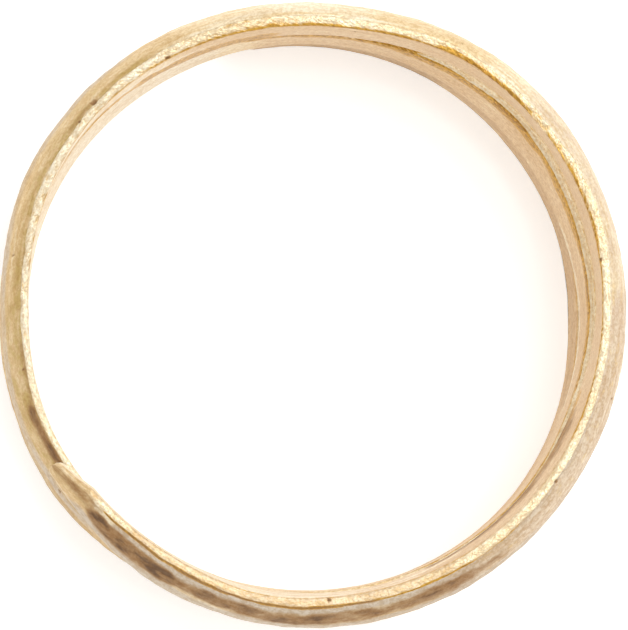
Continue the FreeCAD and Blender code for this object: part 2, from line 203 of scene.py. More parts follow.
# Marks in the skin, for the material. Each stroke has its first and last unwound angle, its
# first and last place round the section, counted in knots, and its strength: it covers the
# skin at 1, and leaves scattered flecks at 0.2. Strengths above 1 bring out more amber specks
# in the gold and more dark patches in the brown.
STROKES = {
    # Painted shade: the tan darkens the left and lower-left slopes, which face away from the soft
    # box, and the slopes and backs of the laps below the front one.
    "tan": [
        (205, 226, 11.0, 17.0, 0.85), (205, 219, 8.0, 11.5, 0.60), (226, 312, 16.0, 17.4, 0.30),
        (231, 305, 8.8, 11.0, 0.48), (370, 398, 12.6, 17.0, 0.25), (482, 590, 12.2, 18.8, 0.74),
        (490, 540, 17.0, 20.5, 1.00), (220, 590, 18.5, 22.5, 0.60), (590, 940, 12.2, 22.0, 0.70),
        (940, 1190, 12.2, 22.0, 0.80),
    ],
    # Painted shade: olive darkens the slopes beside the bead, chiefly on the left, where they turn
    # away from the soft box.
    "olive": [
        (206, 224, 12.2, 15.4, 0.28), (488, 600, 11.6, 13.2, 0.66), (488, 600, 13.4, 16.5, 0.28),
        (540, 582, 12.4, 16.0, 0.46), (600, 700, 11.6, 14.0, 0.50), (960, 1187, 12.0, 15.0, 0.45),
    ],
    "rose": [
        (229, 305, 3.5, 11.0, 0.36), (300, 356, 12.0, 17.6, 0.95), (356, 398, 12.5, 17.2, 0.42),
        (398, 470, 13.5, 17.0, 0.15), (1040, 1110, 9.0, 10.6, 0.60),
    ],
    # Matte film on the inner faces, partly painted shade: it is laid thickly where the inner faces
    # turn away from the soft box and thinly where they face it.
    "inner": [
        (284, 425, 1.8, 8.1, 1.00), (425, 474, 4.6, 8.1, 0.72), (425, 456, 1.8, 4.6, 0.72),
        (474, 600, 5.0, 7.8, 0.34), (600, 640, 1.8, 7.8, 0.55), (640, 814, 1.8, 7.7, 0.95),
        (850, 960, 1.8, 7.8, 0.10), (960, 1000, 1.8, 7.8, 0.55), (1000, 1190, 1.8, 8.0, 0.95),
    ],
    # Painted sheen and shade: a greyish sheen along the rounded crown, and greyish shade beside
    # the bead on the lower left.
    "grey": [
        (222, 312, 16.6, 19.0, 0.95), (226, 300, 12.2, 13.4, 0.90), (300, 345, 12.0, 12.8, 0.50),
        (312, 362, 17.0, 18.6, 0.45), (461, 464, 12.8, 14.5, 0.30), (490, 582, 16.6, 19.4, 0.60),
        (600, 940, 16.0, 18.0, 0.35),
    ],
    # Partly metal rubbed bright along the raised front edge, partly painted highlight: the lit
    # bead, a glint where the tip rises, thin bright lines on the inner faces and the middle lap's
    # front band, which lies in the front lap's shade.
    "bright": [
        (223.5, 229, 8.8, 12.4, 0.85), (223.8, 225.2, 12.4, 13.4, 1.00),
        (229, 300, 8.9, 11.2, 0.30), (229, 300, 4.6, 5.2, 0.55), (240, 290, 6.4, 6.9, 0.50),
        (255, 268, 7.4, 8.2, 0.70), (300, 585, 8.9, 11.2, 0.90), (300, 358, 12.6, 17.4, 0.30),
        (343, 372, 10.4, 11.6, 1.00), (344, 352, 17.0, 18.5, 0.50), (500, 590, 5.5, 9.0, 0.75),
        (585, 690, 9.0, 11.0, 0.55), (650, 675, 8.7, 9.6, 0.85), (690, 786, 9.1, 11.9, 1.00),
        (700, 738, 2.6, 3.2, 0.95), (806, 940, 9.0, 11.0, 0.50), (838, 842, 8.4, 9.8, 0.90),
        (940, 1187, 9.0, 11.0, 0.45), (1065, 1100, 8.8, 10.2, 0.85),
    ],
    # Painted light: the palest colour lightens the lower inner faces, which the white floor lights
    # from below, the middle lap's shaded front band and, thinly, the bead.
    "pale": [
        (226, 300, 1.8, 4.6, 0.32), (478, 600, 1.6, 4.8, 1.00), (482, 548, 9.0, 11.2, 0.36),
        (704, 784, 9.0, 11.6, 0.22), (834, 955, 1.8, 7.4, 0.95),
    ],
    # Deep gold under and beside the bead and along the gaps between the laps: partly old gilding,
    # partly painted shade and the gold's own light reflected in these hollows.
    "gold": [
        (213, 221, 9.0, 12.0, 0.14), (227, 280, 11.35, 12.2, 1.70), (280, 300, 11.3, 11.9, 1.15),
        (230, 480, 9.2, 11.0, 0.22), (245, 302, 8.1, 8.4, 0.45), (300, 312, 11.4, 11.8, 0.55),
        (318, 341, 2.6, 3.8, 0.75), (335, 372, 8.2, 8.8, 0.90), (372, 388, 8.2, 8.9, 0.95),
        (380, 480, 0.9, 1.5, 0.50), (388, 404, 8.3, 9.5, 0.50), (404, 411, 8.3, 9.3, 1.25),
        (411, 422, 8.7, 9.6, 1.10), (422, 446, 8.2, 8.9, 1.05), (446, 463, 8.3, 9.3, 0.78),
        (460, 486, 1.4, 4.5, 1.00), (463, 484, 8.0, 8.8, 0.75), (484, 532, 7.5, 8.2, 0.55),
        (486, 520, 1.4, 3.8, 0.72), (600, 655, 8.1, 8.5, 0.40), (655, 697, 8.0, 8.8, 0.75),
        (697, 704, 7.6, 8.8, 0.85), (704, 722, 6.6, 8.7, 0.95), (722, 738, 7.0, 8.7, 1.15),
        (724, 728, 7.4, 8.2, 1.70), (738, 756, 6.5, 8.7, 0.95), (756, 789, 6.4, 8.8, 1.05),
        (761, 767, 7.4, 8.9, 1.80), (789, 822, 6.8, 11.0, 1.00), (822, 858, 7.5, 8.9, 0.95),
        (858, 876, 7.8, 8.5, 0.60), (880, 1187, 7.9, 8.6, 0.50), (600, 1187, 11.4, 11.9, 0.45),
    ],
    # Brown patina, partly painted shade: it also paints the tip's shadow on the lap beneath it
    # (548 to 577), the shaded gap between the front and middle laps low on the inner face (296 to
    # 338) and, on the lower-left slope (224 to 300), the dark surroundings that the metal reflects
    # there.
    "brown": [
        (208, 222, 12.6, 14.2, 0.46), (214, 219, 12.8, 13.4, 0.30), (224, 241, 14.4, 15.4, 1.25),
        (227, 280, 11.6, 12.0, 0.50), (241, 258, 14.4, 15.0, 0.80), (256, 283, 14.5, 15.6, 0.75),
        (264, 274, 14.4, 14.8, 1.00), (281, 300, 14.5, 15.5, 0.75), (290, 298, 14.4, 14.8, 1.00),
        (296, 320, 2.9, 3.6, 0.62), (299, 307, 14.6, 15.2, 0.55), (318, 326, 3.4, 4.2, 0.52),
        (322, 338, 3.1, 4.4, 0.38), (329, 336, 2.8, 4.6, 0.58), (498, 503, 12.6, 13.0, 0.38),
        (548, 563, 12.2, 12.6, 0.40), (561, 577, 12.6, 13.4, 0.80), (600, 700, 14.0, 15.0, 0.40),
        (760, 900, 20.4, 22.0, 0.45), (960, 1120, 19.4, 21.6, 0.50), (1063, 1100, 5.0, 7.6, 0.22),
        (1096, 1140, 5.0, 7.8, 0.20), (1140, 1187, 4.0, 8.2, 0.30),
    ],
}

# How softly a stroke ends along the wire, in degrees, and across it, in knots.
STROKE_SOFTNESS = {
    "tan": (14.0, 1.2),
    "olive": (10.0, 1.4),
    "rose": (16.0, 1.2),
    "inner": (14.0, 0.7),
    "grey": (7.0, 1.0),
    "bright": (4.0, 0.5),
    "pale": (12.0, 1.0),
    "gold": (5.0, 0.45),
    "brown": (4.0, 1.2),
}

# How the strokes' borders wander: wavelength along the wire in millimetres and swing in knots,
# how fast the noise changes from knot to knot, and the row of the noise that they follow.
STROKE_WANDER = [(1.9, 0.40), (0.42, 0.28)]
WANDER_KNOT_SHARE = 0.3
WANDER_NOISE_ROW = 11.0

# Noises of the finish, in the straight wire before it is wound: wavelength along the wire and
# across it in millimetres, slant in degrees and octaves of finer detail.
FINISH_NOISES = {
    "cloud": (3.6, 1.3, 0.0, 3.0),
    "streak": (2.6, 0.12, 0.0, 3.0),
    "mottle": (0.60, 0.28, 0.0, 3.0),
    "fleck": (0.20, 0.13, 0.0, 3.0),
    "hatch": (0.42, 0.085, 34.0, 2.0),
    "grain": (0.09, 0.07, 0.0, 2.0),
}

# Films, deposits and painted light and shade, from the lowest to the topmost: the mark that lays
# it, its colour, the two noises that break it up, how strongly they do, the borders between bare
# and covered, how much it hides and its roughness. A negative strength lays it in the hollows of
# the noises.
LAYERS = [
    ("tan", "tan_shade", "cloud", "mottle", 3.0, (0.0, 0.9), 0.88, 0.50),
    ("olive", "olive_shade", "mottle", "fleck", 6.0, (0.1, 0.9), 0.85, 0.50),
    ("rose", "rose_film", "mottle", "fleck", 5.0, (0.0, 0.9), 0.90, 0.50),
    ("inner", "inner_film_and_shade", "streak", "mottle", 4.5, (0.1, 0.9), 0.95, 0.48),
    ("grey", "grey_sheen_and_shade", "cloud", "streak", 3.0, (0.0, 0.9), 0.88, 0.55),
    ("bright", "bright_edge_and_highlight", "streak", "fleck", 2.5, (0.2, 0.7), 0.95, 0.34),
    ("pale", "pale_glow", "cloud", "streak", 2.0, (0.1, 0.9), 0.90, 0.52),
    # Painted shade: deep gold in the hollows of the flakes' bump.
    ("flaky", "crease_gold_and_shade", "hatch", "fleck", -8.0, (0.8, 2.0), 0.36, 0.36),
    ("gold", "crease_gold_and_shade", "hatch", "streak", 4.0, (0.1, 0.8), 1.00, 0.36),
    ("gold", "amber", "hatch", "fleck", 5.5, (0.6, 1.7), 0.80, 0.40),
    ("brown", "brown_patina_and_shade", "mottle", "cloud", 3.0, (0.0, 0.8), 0.95, 0.60),
    ("brown", "dark_patina_and_shade", "mottle", "cloud", 6.0, (0.6, 1.6), 0.85, 0.62),
]

# Every noise swings about this value.
NOISE_MIDDLE = 0.5
# The two noises that set pale gilt against gilt, and the borders between them.
GILT_NOISES = ("cloud", "streak")
GILT_BORDERS = (0.40, 0.60)
# Darker clouds and darker grain over all of it: the noises, their borders and their strength.
CLOUD_TONE = ("cloud", "streak", (0.36, 0.56), 0.45)
GRAIN_TONE = ("fleck", "grain", (0.42, 0.58), 0.60)
WHITE = (1.0, 1.0, 1.0, 1.0)
# How far the grain makes the skin rougher and smoother, and how metallic the skin is.
ROUGHNESS_SWING = 0.30
METAL_SHARE = 0.55
# The finest relief, which only the shading shows, and how much the flakes add to it.
BUMP_SHARE = 0.8
BUMP_HEIGHT = 0.08 * MILLIMETRE
FLAKE_BUMP_SHARE = 0.9

# Numbers of the Mix node's sockets, for colours and for plain numbers.
MIX_COLOUR_A, MIX_COLOUR_B, MIX_COLOUR_RESULT = 6, 7, 2
MIX_NUMBER_A, MIX_NUMBER_B, MIX_NUMBER_RESULT = 2, 3, 0
MIX_NUMBER_FACTOR = 0

# Pits and nicks: unwound angle, place round the section in knots, radius and depth in
# millimetres.
PITS = [
    (266.5, 14.3, 0.05, 0.03), (272.4, 9.4, 0.08, 0.06), (281.0, 15.4, 0.05, 0.03),
    (309.0, 12.9, 0.05, 0.02), (324.2, 11.8, 0.09, 0.04), (343.3, 16.2, 0.06, 0.03),
    (369.8, 8.9, 0.08, 0.05), (421.0, 14.2, 0.05, 0.02), (441.8, 6.0, 0.06, 0.03),
    (480.9, 8.7, 0.10, 0.06), (497.5, 13.0, 0.13, 0.07), (502.0, 12.0, 0.07, 0.03),
    (530.0, 15.0, 0.06, 0.03), (552.0, 13.1, 0.05, 0.03), (576.0, 16.6, 0.07, 0.05),
    (640.0, 14.0, 0.09, 0.04), (705.0, 16.0, 0.08, 0.04), (785.0, 5.0, 0.06, 0.03),
    (810.0, 13.5, 0.10, 0.05), (880.0, 16.5, 0.08, 0.04), (990.0, 14.5, 0.10, 0.05),
    (1060.0, 16.0, 0.08, 0.04), (1120.0, 13.0, 0.10, 0.05),
]
# A pit has a flat floor over this share of its radius, and one this deep is full of dirt. A
# ring of the mesh looks for pits within this angle.
PIT_FLOOR_SHARE = 0.3
DARK_PIT_DEPTH = 0.03
PIT_SEARCH_ANGLE = 2.0

# The floor: its diffuse white, and how much brighter it looks to the camera and in the metal.
PAPER_WHITE = 0.85
PAPER_GLOW = 0.42
FLOOR_SIZE = 0.8

# The soft box: the side that it stands on, anticlockwise from +X, its rise above the floor,
# both in degrees, its distance and its size.
KEY_TURN = 45.0
KEY_RISE = 64.0
KEY_DISTANCE = 0.30
KEY_SIZE = 0.22

# Frame of the photograph in pixels, where the middle of the front lap's rim lies in it, the
# focal length in pixels, the sensor's width in millimetres and the nearest distance seen.
PHOTO_WIDTH = 628
PHOTO_HEIGHT = 630
RIM_CENTRE_PIXEL = (316.84, 306.25)
FOCAL_PIXELS = 2973.0
SENSOR_WIDTH = 36.0
CLIP_START = 1.0 * MILLIMETRE


def smooth_step(low, high, value):
    """0 below low, 1 above high and an even rise between."""
    share = max(0.0, min(1.0, (value - low) / (high - low)))
    return share * share * (3.0 - 2.0 * share)


def band(low, high, soft, value):
    """1 between low and high, fading to 0 over soft on each side."""
    return smooth_step(low - soft, low, value) * (1.0 - smooth_step(high, high + soft, value))


def curve(a, b, c, d, share):
    """Smooth curve from b to c, with a before them and d after them, and its slope."""
    bend = 2.0 * a - 5.0 * b + 4.0 * c - d
    twist = 3.0 * (b - c) + d - a
    square = share * share
    value = b + 0.5 * share * (c - a + share * (bend + share * twist))
    slope = 0.5 * (c - a) + share * bend + 1.5 * square * twist
    return value, slope


def spline(values, place):
    """Smooth curve through a list of numbers, at a place counted in list steps."""
    last = len(values) - 1
    place = max(0.0, min(float(last), place))
    i = min(int(place), last - 1)
    before, after = values[max(i - 1, 0)], values[min(i + 2, last)]
    return curve(before, values[i], values[i + 1], after, place - i)[0]


def drop_at_station(i):
    """Laps that the wire has gone down at a height station."""
    return i // len(TURN_DROP_SHARES) + TURN_DROP_SHARES[i % len(TURN_DROP_SHARES)]


def drop_slope(i):
    """Even slope of the drop at a station, level where a stretch starts, ends or turns back."""
    before = drop_at_station(i) - drop_at_station(i - 1)
    after = drop_at_station(i + 1) - drop_at_station(i)
    if before * after <= 0.0:
        return 0.0
    return 2.0 * before * after / (before + after)


def drop_at(angle):
    """Laps that the wire has gone down at an unwound angle."""
    place = (min(max(angle, FIRST_ANGLE), LAST_ANGLE) - FIRST_ANGLE) / DROP_STEP
    i = int(place)
    last = int((LAST_ANGLE - FIRST_ANGLE) / DROP_STEP)
    if i >= last:
        return drop_at_station(last)
    share = place - i
    start, end = drop_at_station(i), drop_at_station(i + 1)
    leave = 0.0 if i == 0 else drop_slope(i)
    arrive = 0.0 if i + 1 == last else drop_slope(i + 1)
    square, cube = share * share, share * share * share
    return ((2.0 * cube - 3.0 * square + 1.0) * start + (cube - 2.0 * square + share) * leave
            + (3.0 * square - 2.0 * cube) * end + (cube - square) * arrive)


class RingSection:
    """Everything that is the same all round the wire at one unwound angle."""

    def __init__(self, angle, sizes):
        self.angle = angle
        self.sizes = sizes
        place = (angle - FIRST_ANGLE) / SECTION_STEP
        self.front = spline(FRONT_STAND_OFF_SHARES, place)
        self.rear = spline(REAR_STAND_OFF_SHARES, place)
        self.crown = spline(CROWN_SHARES, place)
        self.bead = spline(BEAD_SHARES, place)
        self.ragged = spline(RAGGED_SHARES, place)
        self.length = math.radians(angle) * 0.5 * sizes.hole_diameter / MILLIMETRE
        self.reach = 1.0 + WIDE_REACH_SHARE * band(*WIDE_REACH_ANGLES, WIDE_REACH_SOFTNESS, angle)
        self.thickness_scale = 1.0
        self.width_scale = 1.0
        self.outward = 0.0
        self.sink = 0.0
        self.set_end_taper()
        self.set_height()
        self.knots = self.make_knots()
        self.strokes = {
            name: self.near_strokes(strokes, STROKE_SOFTNESS[name][0])
            for name, strokes in STROKES.items()
        }
        self.pits = [pit for pit in PITS if abs(pit[0] - angle) < PIT_SEARCH_ANGLE]

    def near_strokes(self, strokes, soft_angle):
        """The strokes that cross this ring, as first and last knot and strength."""
        crossing = []
        for first, last, low, high, strength in strokes:
            strength *= band(first, last, soft_angle, self.angle)
            if strength > 0.0:
                crossing.append((low, high, strength))
        return crossing

    def set_end_taper(self):
        """Thins the wire towards its tip and its tail, and rounds the last edge."""
        before = FIRST_ANGLE - self.angle
        after = self.angle - LAST_ANGLE
        if before > 0.0:
            self.thin(before / TIP_ANGLE, TIP_THICKNESS_SHARE, TIP_WIDTH_SHARE,
                      TIP_OUTWARD_SHARE, TIP_SINK_SHARE)
            self.round_end(TIP_ANGLE - before)
        elif after > 0.0:
            self.thin(after / TAIL_ANGLE, TAIL_THICKNESS_SHARE, TAIL_WIDTH_SHARE,
                      TAIL_OUTWARD_SHARE, TAIL_SINK_SHARE)
            self.round_end(TAIL_ANGLE - after)

    def thin(self, share, thickness_share, width_share, outward_share, sink_share):
        """Taper at a share of the way to the end."""
        self.thickness_scale = 1.0 + share * (thickness_share - 1.0)
        self.width_scale = 1.0 + share * (width_share - 1.0)
        self.outward = share * outward_share
        self.sink = share * sink_share

    def round_end(self, left):
        """Draws the section in over the last angle before the end."""
        if left < END_ROUNDING_ANGLE:
            share = 1.0 - left / END_ROUNDING_ANGLE
            roundness = math.sqrt(max(0.0, 1.0 - share * share))
            scale = END_FACE_SHARE + (1.0 - END_FACE_SHARE) * roundness
            self.thickness_scale *= scale
            self.width_scale *= scale

    def set_height(self):
        """Height of the middle of the section."""
        sizes = self.sizes
        lowest = 0.5 * sizes.wire_width - sizes.base_flat_depth
        laps_left = LAPS_BELOW_FRONT - drop_at(self.angle)
        lap_rise = sizes.wire_width + sizes.lap_gap
        self.height = lowest + laps_left * lap_rise - self.sink * 0.5 * sizes.wire_width

    def make_knots(self):
        """Corners of the section, in thicknesses outwards and half widths upwards."""
        thickness = self.sizes.wire_thickness / MILLIMETRE
        bead = self.bead
        for wave, swing in SCALLOP_WAVES:
            place = Vector((self.length / wave, SCALLOP_NOISE_ROW, wave))
            bead += self.ragged * swing / thickness * noise.noise(place)
        knots = list(INNER_KNOTS)
        knots += [(bead * out, up) for out, up in BEAD_KNOTS]
        run = self.crown - bead
        knots += [(bead + run * out, up) for out, up in SLOPE_KNOTS]
        knots += [(self.crown * out, up) for out, up in REAR_KNOTS]
        return knots

    def section_point(self, around):
        """Place in the section and slope of its outline, in thicknesses and half widths."""
        place = around * KNOT_COUNT
        i = int(place) % KNOT_COUNT
        share = place - int(place)
        four = [self.knots[(i + step) % KNOT_COUNT] for step in (-1, 0, 1, 2)]
        outs, ups = zip(*four)
        out, out_slope = curve(*outs, share)
        up, up_slope = curve(*ups, share)
        return (out, up), (out_slope, up_slope)


def relief(ring, out, up, wave):
    """Height of one wave of the relief, in millimetres, at a place in the section."""
    along_wave, across_wave, height = wave
    place = Vector((ring.length / along_wave, out / across_wave, up / across_wave))
    return height * noise.noise(place)


def rough_lift(ring, knot, out, up):
    """Lift of the skin in millimetres, how flaky it is there and how much of a crevice."""
    lift = sum(relief(ring, out, up, wave) for wave in SURFACE_WAVES)
    lift *= 1.0 - INNER_SMOOTHNESS * band(*INNER_SMOOTH_KNOTS, INNER_SMOOTH_SOFTNESS, knot)
    on_bead = band(*FLAKY_KNOTS, FLAKY_SOFTNESS, knot) * ring.ragged
    if on_bead <= 0.0:
        return lift, 0.0, 0.0
    along_wave, across_wave, height = FLAKE_WAVE
    slanted = ring.length + FLAKE_SLANT * out
    flake = noise.noise(Vector((slanted / along_wave, out / across_wave, up / across_wave)))
    crumb = relief(ring, out, up, CRUMB_WAVE)
    lift += on_bead * (height * flake + crumb)
    return lift, on_bead, on_bead * smooth_step(*CREVICE_DEPTHS, -flake)


def pit_depth(ring, knot, knot_length):
    """How deep the pits are at a place, in millimetres, where a knot is this long."""
    depth = 0.0
    for angle, pit_knot, radius, deep in ring.pits:
        along = math.radians(ring.angle - angle) * 0.5 * ring.sizes.hole_diameter / MILLIMETRE
        across = (knot - pit_knot) * knot_length
        from_centre = math.hypot(along, across)
        depth += deep * (1.0 - smooth_step(PIT_FLOOR_SHARE * radius, radius, from_centre))
    return depth


def paint_marks(ring, knot, flaky, crevice, pit):
    """How strongly each mark lies on the skin at a place round the section."""
    for wave, swing in STROKE_WANDER:
        place = Vector((ring.length / wave, WANDER_KNOT_SHARE * knot, WANDER_NOISE_ROW + wave))
        knot += swing * noise.noise(place)
    marks = {"flaky": flaky}
    for name, strokes in ring.strokes.items():
        soft_knot = STROKE_SOFTNESS[name][1]
        covers = [cover * band(low, high, soft_knot, knot) for low, high, cover in strokes]
        marks[name] = max(covers, default=0.0)
    # Painted shade: deep gold in the hollows of the flakes.
    marks["gold"] = max(marks["gold"], CREVICE_STRENGTH * crevice)
    marks["brown"] = max(marks["brown"], min(1.0, pit / DARK_PIT_DEPTH))
    return marks


def skin(ring, around):
    """Point of the skin on a ring, in metres, its place in the straight wire and its marks."""
    sizes = ring.sizes
    thickness, half_width = sizes.wire_thickness, 0.5 * sizes.wire_width
    (out, up), (out_slope, up_slope) = ring.section_point(around)
    knot = around * KNOT_COUNT
    straight = Vector((ring.length, out * thickness / MILLIMETRE, up * half_width / MILLIMETRE))
    normal = Vector((-up_slope * half_width, out_slope * thickness))
    knot_length = normal.length / MILLIMETRE
    normal.normalize()
    lift, flaky, crevice = rough_lift(ring, knot, straight.y, straight.z)
    pit = pit_depth(ring, knot, knot_length)
    lift = (lift - pit) * MILLIMETRE

    stand_off = ring.rear + (ring.front - ring.rear) * 0.5 * (up + 1.0)
    middle = 0.5 * ring.crown
    out = middle + ring.outward + (out - middle) * ring.thickness_scale
    up *= ring.width_scale * (ring.reach if up < 0.0 else 1.0)
    radius = 0.5 * sizes.hole_diameter + (stand_off + out) * thickness + lift * normal.x
    radius = max(radius, 0.5 * sizes.hole_diameter - HOLE_MARGIN)
    height = max(0.0, ring.height + up * half_width + lift * normal.y)
    angle = math.radians(ring.angle)
    place = Vector((radius * math.cos(angle), radius * math.sin(angle), height))
    return place, straight, paint_marks(ring, knot, flaky, crevice, pit)


def ring_angle(along):
    """Unwound angle of a ring at a share of the way along the mesh."""
    for (start, low), (end, high) in zip(RING_SHARES, RING_SHARES[1:]):
        if along <= end:
            return low + (high - low) * (along - start) / (end - start)
    return RING_SHARES[-1][1]


def wind_wire(sizes):
    """The whole wire as one closed mesh: a flat strip that is rolled round and wound up."""
    bm = bmesh.new()
    bm.loops.layers.uv.new("strip")
    straight_layer = bm.verts.layers.float_vector.new("straight_wire")
    layers = {name: bm.verts.layers.float.new(name) for name in [*STROKES, "flaky"]}
    # The strip is a square of side 1 about the origin.
    bmesh.ops.create_grid(
        bm, x_segments=RING_COUNT, y_segments=AROUND_COUNT, size=0.5, calc_uvs=True
    )
    rings = {}
    for vert in bm.verts:
        along, around = vert.co.x + 0.5, vert.co.y + 0.5
        key = round(along * RING_COUNT)
        if key not in rings:
            rings[key] = RingSection(ring_angle(key / RING_COUNT), sizes)
        ring = rings[key]
        around = round(around * AROUND_COUNT) / AROUND_COUNT
        vert.co, vert[straight_layer], marks = skin(ring, around)
        for name, strength in marks.items():
            vert[layers[name]] = strength
    bmesh.ops.remove_doubles(bm, verts=bm.verts, dist=MERGE_DISTANCE)
    ends = [edge for edge in bm.edges if edge.is_boundary]
    bmesh.ops.holes_fill(bm, edges=ends, sides=0)
    bmesh.ops.recalc_face_normals(bm, faces=bm.faces)
    for face in bm.faces:
        face.smooth = True
    mesh = bpy.data.meshes.new("hammered_wire")
    bm.to_mesh(mesh)
    bm.free()
    return mesh


class NodeBench:
    """Short calls for building a material's nodes."""

    def __init__(self, material):
        material.use_nodes = True
        self.tree = material.node_tree
        self.tree.nodes.clear()

    def add(self, kind, **settings):
        """New node with its settings."""
        node = self.tree.nodes.new(kind)
        for name, value in settings.items():
            setattr(node, name, value)
        return node

    def link(self, source, target):
        """Leads an output to an input."""
        self.tree.links.new(source, target)

    def set_input(self, node, name, value):
        """Links a socket, or sets a plain value."""
        if isinstance(value, bpy.types.NodeSocket):
            self.link(value, node.inputs[name])
        else:
            node.inputs[name].default_value = value

    def attribute(self, name, output):
        """Output of a mark or place that is stored in the mesh."""
        return self.add("ShaderNodeAttribute", attribute_name=name).outputs[output]

    def stretched_noise(self, place, along_wave, across_wave, slant, detail):
        """Noise whose grains are longer along the wire than across it."""
        stretch = self.add("ShaderNodeMapping", vector_type="TEXTURE")
        stretch.inputs["Rotation"].default_value = (0.0, 0.0, math.radians(slant))
        stretch.inputs["Scale"].default_value = (along_wave, across_wave, across_wave)
        self.link(place, stretch.inputs["Vector"])
        node = self.add("ShaderNodeTexNoise")
        self.link(stretch.outputs["Vector"], node.inputs["Vector"])
        node.inputs["Scale"].default_value = 1.0
        node.inputs["Detail"].default_value = detail
        return node.outputs["Fac"]

    def average(self, a, b):
        """Middle between two numbers."""
        return self.maths("MULTIPLY", self.maths("ADD", a, b), 0.5)

    def ramp(self, value, low, high):
        """0 below low and 1 above high."""
        node = self.add("ShaderNodeMapRange", interpolation_type="SMOOTHSTEP")
        self.link(value, node.inputs["Value"])
        node.inputs["From Min"].default_value = low
        node.inputs["From Max"].default_value = high
        return node.outputs["Result"]

    def maths(self, operation, a, b):
        """Result of one operation on two numbers."""
        node = self.add("ShaderNodeMath", operation=operation)
        self.set_input(node, 0, a)
        self.set_input(node, 1, b)
        return node.outputs["Value"]

    def mix(self, factor, a, b):
        """Colour a where the factor is 0 and colour b where it is 1."""
        node = self.add("ShaderNodeMix", data_type="RGBA")
        self.set_input(node, "Factor", factor)
        self.set_input(node, MIX_COLOUR_A, a)
        self.set_input(node, MIX_COLOUR_B, b)
        return node.outputs[MIX_COLOUR_RESULT]

    def tint(self, share, colour, shade):
        """A colour multiplied by a shade, by the share."""
        node = self.add("ShaderNodeMix", data_type="RGBA", blend_type="MULTIPLY")
        node.inputs["Factor"].default_value = share
        self.link(colour, node.inputs[MIX_COLOUR_A])
        self.link(shade, node.inputs[MIX_COLOUR_B])
        return node.outputs[MIX_COLOUR_RESULT]

    def blend(self, factor, a, b):
        """Number a where the factor is 0 and number b where it is 1."""
        node = self.add("ShaderNodeMix", data_type="FLOAT")
        self.set_input(node, MIX_NUMBER_FACTOR, factor)
        self.set_input(node, MIX_NUMBER_A, a)
        self.set_input(node, MIX_NUMBER_B, b)
        return node.outputs[MIX_NUMBER_RESULT]


def opaque(colour):
    """A colour property as four numbers."""
    return (colour[0], colour[1], colour[2], 1.0)


def films(bench, noises, colours):
    """Colour and roughness of the gilt under its films, deposits and painted light and shade."""
    first, second = GILT_NOISES
    cloudy = bench.ramp(bench.average(noises[first], noises[second]), *GILT_BORDERS)
    colour = bench.mix(cloudy, opaque(colours.gilt), opaque(colours.pale_gilt))
    rough = colours.roughness
    for mark, colour_name, first, second, swing, borders, cover, layer_rough in LAYERS:
        swung = bench.average(noises[first], noises[second])
        patchy = bench.maths("SUBTRACT", swung, NOISE_MIDDLE)
        patchy = bench.maths("ADD", bench.maths("MULTIPLY", patchy, swing), 1.0)
        strength = bench.maths("MULTIPLY", bench.attribute(mark, "Fac"), patchy)
        laid = bench.maths("MULTIPLY", bench.ramp(strength, *borders), cover)
        colour = bench.mix(laid, colour, opaque(getattr(colours, colour_name)))
        rough = bench.blend(laid, rough, layer_rough)
    return colour, rough


def toned(bench, noises, colours, colour):
    """The colour with its darker clouds and its darker grain."""
    tones = ((CLOUD_TONE, colours.cloud_shade), (GRAIN_TONE, colours.shade))
    for (first, second, borders, share), dark in tones:
        light = bench.ramp(bench.average(noises[first], noises[second]), *borders)
        tone = bench.mix(light, opaque(dark), WHITE)
        colour = bench.tint(share, colour, tone)
    return colour


def fine_relief(bench, noises):
    """Bump of the mottling, the grain and the flakes."""
    height = bench.average(bench.average(noises["mottle"], noises["fleck"]), noises["grain"])
    flakes = bench.maths("MULTIPLY", noises["hatch"], bench.attribute("flaky", "Fac"))
    height = bench.maths("ADD", height, bench.maths("MULTIPLY", flakes, FLAKE_BUMP_SHARE))
    bump = bench.add("ShaderNodeBump")
    bump.inputs["Strength"].default_value = BUMP_SHARE
    bump.inputs["Distance"].default_value = BUMP_HEIGHT
    bench.link(height, bump.inputs["Height"])
    return bump.outputs["Normal"]


def gilding_material(colours):
    """Worn gilding over bronze, with films, old gold in the creases and brown patina, and with
    light and shade painted into these.
    """
    material = bpy.data.materials.new("worn_gilding_and_painted_light")
    bench = NodeBench(material)
    place = bench.attribute("straight_wire", "Vector")
    noises = {name: bench.stretched_noise(place, *wave) for name, wave in FINISH_NOISES.items()}
    colour, rough = films(bench, noises, colours)
    colour = toned(bench, noises, colours, colour)
    sandy = bench.maths("SUBTRACT", noises["grain"], NOISE_MIDDLE)
    sandy = bench.maths("MULTIPLY", sandy, ROUGHNESS_SWING)
    normal = fine_relief(bench, noises)

    shader = bench.add("ShaderNodeBsdfPrincipled")
    shader.inputs["Metallic"].default_value = METAL_SHARE
    bench.link(colour, shader.inputs["Base Color"])
    bench.link(bench.maths("ADD", rough, sandy), shader.inputs["Roughness"])
    bench.link(normal, shader.inputs["Normal"])
    output = bench.add("ShaderNodeOutputMaterial")
    bench.link(shader.outputs["BSDF"], output.inputs["Surface"])
    return material


